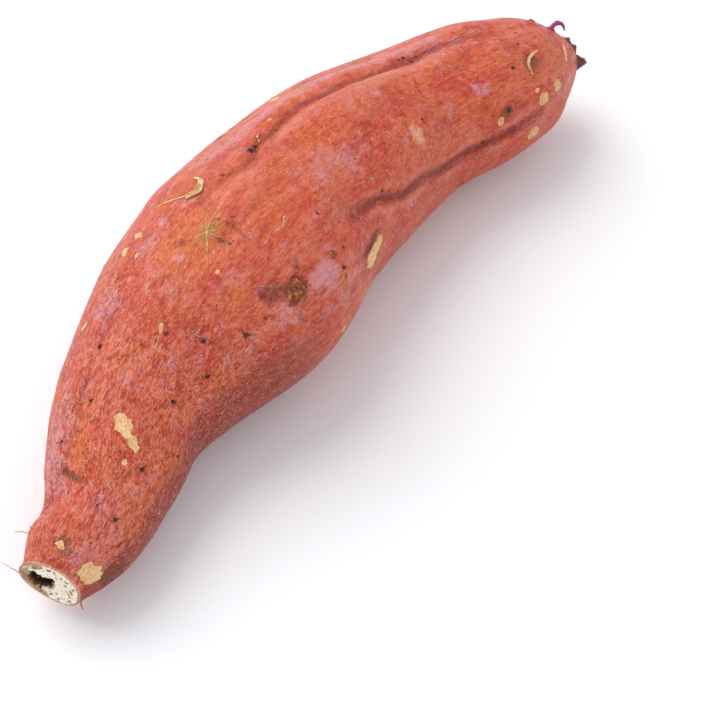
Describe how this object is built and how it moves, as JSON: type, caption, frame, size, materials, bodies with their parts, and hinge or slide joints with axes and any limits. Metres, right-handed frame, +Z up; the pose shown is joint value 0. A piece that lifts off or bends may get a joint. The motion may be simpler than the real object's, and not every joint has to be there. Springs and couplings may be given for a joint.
{
  "type": "sweet potato",
  "caption": "Whole sweet potato, a bowed red-skinned root that tapers from a swollen belly to a cut neck and a blunt crown with young shoots, lying on a small flat spot.",
  "frame": {"origin": "middle of the bounding box, at the bottom, where the belly rests", "axes": "+X from the cut neck to the crown, +Y towards the outside of the bow, +Z up"},
  "size_m": [0.2288, 0.0638, 0.0573],
  "materials": {
    "skin": "semi-matte salmon-red skin with lilac and orange mottling, straw-coloured scars and fine lengthwise grain",
    "shoot": "satin violet young shoot",
    "bud": "dull dark maroon bud scales"
  },
  "bodies": {
    "root": {"tuber": "skin", "curled_shoot": "shoot", "bud_spike_upper": "bud", "bud_spike_middle": "bud", "bud_spike_long": "bud"}
  },
  "joints": []
}
